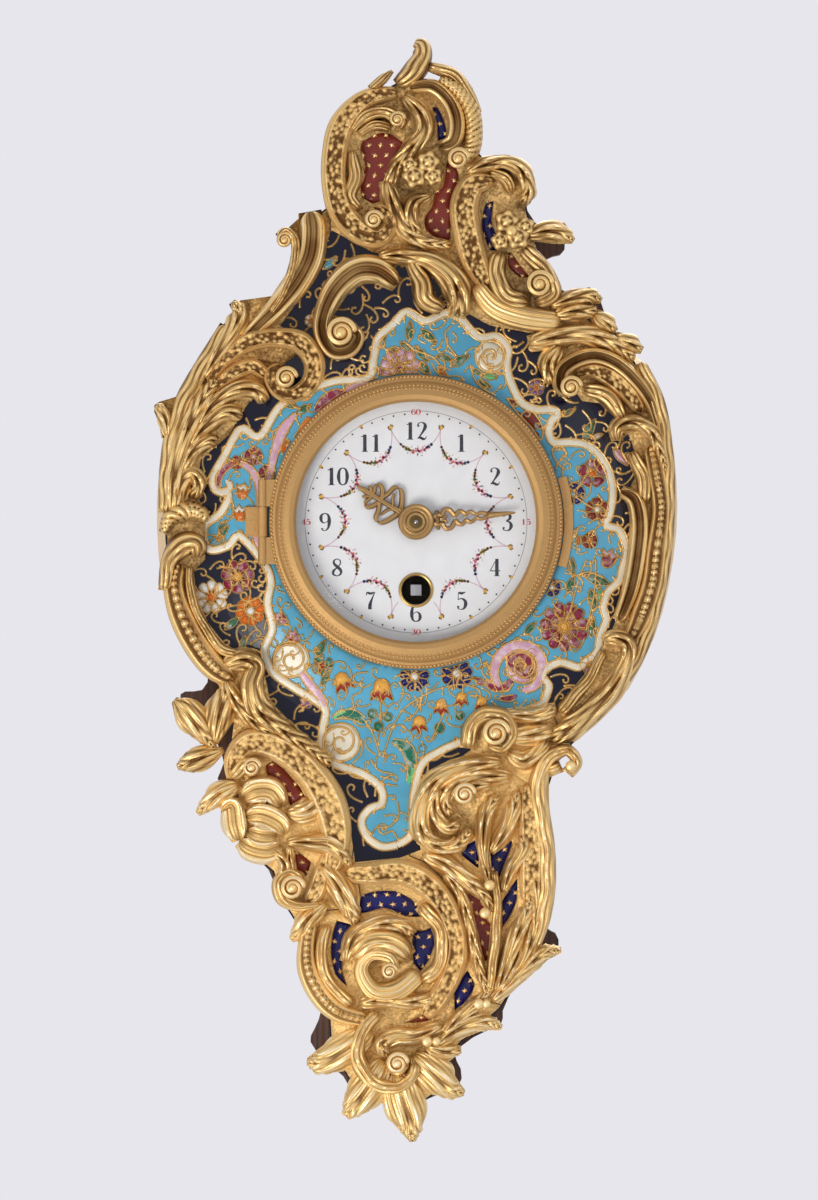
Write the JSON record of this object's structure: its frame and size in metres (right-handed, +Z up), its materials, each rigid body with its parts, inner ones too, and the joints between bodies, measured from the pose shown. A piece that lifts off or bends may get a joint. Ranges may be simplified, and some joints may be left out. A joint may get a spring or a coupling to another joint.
{
  "type": "cartel wall clock",
  "caption": "Small gilt-bronze rococo cartel wall clock with an enamelled front, white dial, hinged glazed bezel and a wound platform-lever movement.",
  "frame": {"origin": "centre of the hanging hole in the brass plate, at the back face of the backboard", "axes": "+Z up along the case, +Y back towards the wall, +X to the right seen from the front"},
  "size_m": [0.1682, 0.0393, 0.3537],
  "materials": {
    "gilt_bronze": "fire-gilt cast bronze, matte with burnished high points",
    "brass": "turned and grained brass",
    "steel": "polished steel",
    "blued_steel": "blued spring steel",
    "walnut": "dark stained wood, waxed",
    "enamel_field": "glossy vitreous enamel over metal with gilt cell walls",
    "dial_enamel": "glossy white enamel with painted figures",
    "glass": "clear convex glass"
  },
  "bodies": {
    "case": {"backboard": "walnut", "hanging_plate": "brass", "hanging_screws": "steel", "case_band": "gilt_bronze", "enamel_plate": "enamel_field", "crest_mount": "gilt_bronze", "left_mount": "gilt_bronze", "right_mount": "gilt_bronze", "rose_mount": "gilt_bronze", "reed_mount": "gilt_bronze", "base_mount": "gilt_bronze", "mount_screws": "steel", "movement_drum": "brass", "drum_screws": "steel", "back_cover": "brass", "hinge_leaf": "brass", "hinge_pin": "brass", "bezel_catch": "brass", "dial": "dial_enamel", "winding_grommet": "brass", "front_plate": "brass", "back_plate": "brass", "pillars": "brass", "plate_screws": "steel", "movement_screws": "steel", "click_spring": "blued_steel", "click_screw": "steel", "platform": "brass", "potence": "brass", "escape_cock": "brass", "balance_cock": "brass", "platform_screws": "steel"},
    "bezel_door": {"bezel": "gilt_bronze", "sight_ring": "brass", "glass": "glass"},
    "minute_arbor": {"centre_wheel": "brass", "cannon_pinion": "steel", "minute_hand": "gilt_bronze", "hand_collet": "gilt_bronze"},
    "hour_pipe": {"hour_wheel": "brass", "hour_hand": "gilt_bronze"},
    "minute_wheel_body": {"minute_wheel": "brass"},
    "intermediate_arbor": {"intermediate_wheel": "brass"},
    "barrel_drum": {"barrel": "brass", "barrel_cap": "brass", "mainspring": "blued_steel"},
    "third_arbor": {"third_wheel": "brass"},
    "contrate_arbor": {"contrate_wheel": "brass"},
    "escape_arbor": {"escape_wheel": "steel"},
    "winding_arbor": {"barrel_arbor": "steel", "ratchet_wheel": "steel"},
    "click_pawl": {"click": "steel"},
    "lever_arbor": {"lever": "steel"},
    "balance_staff": {"balance_wheel": "brass", "hairspring": "blued_steel"}
  },
  "joints": [
    {"name": "bezel_hinge", "type": "hinge", "parent": "case", "child": "bezel_door", "pos_m": [-0.049, -0.0312, -0.112], "axis": [0, 0, -1], "range_deg": [0, 105]},
    {"name": "minute_turn", "type": "hinge", "parent": "case", "child": "minute_arbor", "pos_m": [0, -0.02, -0.112], "axis": [0, 1, 0], "continuous": true},
    {"name": "hour_turn", "type": "hinge", "parent": "case", "child": "hour_pipe", "pos_m": [0, -0.02, -0.112], "axis": [0, 1, 0], "continuous": true},
    {"name": "minute_wheel_turn", "type": "hinge", "parent": "case", "child": "minute_wheel_body", "pos_m": [-0.00831, -0.02, -0.1072], "axis": [0, 1, 0], "continuous": true},
    {"name": "intermediate_turn", "type": "hinge", "parent": "case", "child": "intermediate_arbor", "pos_m": [-0.01162, -0.02, -0.12167], "axis": [0, 1, 0], "continuous": true},
    {"name": "barrel_turn", "type": "hinge", "parent": "case", "child": "barrel_drum", "pos_m": [0, -0.02, -0.1338], "axis": [0, 1, 0], "continuous": true},
    {"name": "third_turn", "type": "hinge", "parent": "case", "child": "third_arbor", "pos_m": [0.00865, -0.02, -0.10335], "axis": [0, 1, 0], "continuous": true},
    {"name": "contrate_turn", "type": "hinge", "parent": "case", "child": "contrate_arbor", "pos_m": [0, -0.02, -0.09675], "axis": [0, 1, 0], "continuous": true},
    {"name": "escape_turn", "type": "hinge", "parent": "case", "child": "escape_arbor", "pos_m": [0, -0.01682, -0.083], "axis": [0, 0, 1], "continuous": true},
    {"name": "winding_turn", "type": "hinge", "parent": "case", "child": "winding_arbor", "pos_m": [0, -0.02, -0.1338], "axis": [0, 1, 0], "range_deg": [0, 1440]},
    {"name": "click_lift", "type": "hinge", "parent": "case", "child": "click_pawl", "pos_m": [0.0102, -0.0232, -0.1308], "axis": [0, -1, 0], "range_deg": [0, 6]},
    {"name": "lever_swing", "type": "hinge", "parent": "case", "child": "lever_arbor", "pos_m": [0.00536, -0.0135, -0.082], "axis": [0, 0, 1], "range_deg": [-5, 5]},
    {"name": "balance_swing", "type": "hinge", "parent": "case", "child": "balance_staff", "pos_m": [0.01148, -0.00971, -0.08], "axis": [0, 0, 1], "range_deg": [-150, 150], "stiffness_Nm_per_rad": 0.000003}
  ],
  "couplings": [
    {"joint": "hour_turn", "follows": "minute_turn", "ratio": 0.083333},
    {"joint": "minute_wheel_turn", "follows": "minute_turn", "ratio": -0.33333},
    {"joint": "intermediate_turn", "follows": "minute_turn", "ratio": -0.125},
    {"joint": "barrel_turn", "follows": "minute_turn", "ratio": 0.020833},
    {"joint": "third_turn", "follows": "minute_turn", "ratio": -8},
    {"joint": "contrate_turn", "follows": "minute_turn", "ratio": 60},
    {"joint": "escape_turn", "follows": "minute_turn", "ratio": -600}
  ]
}
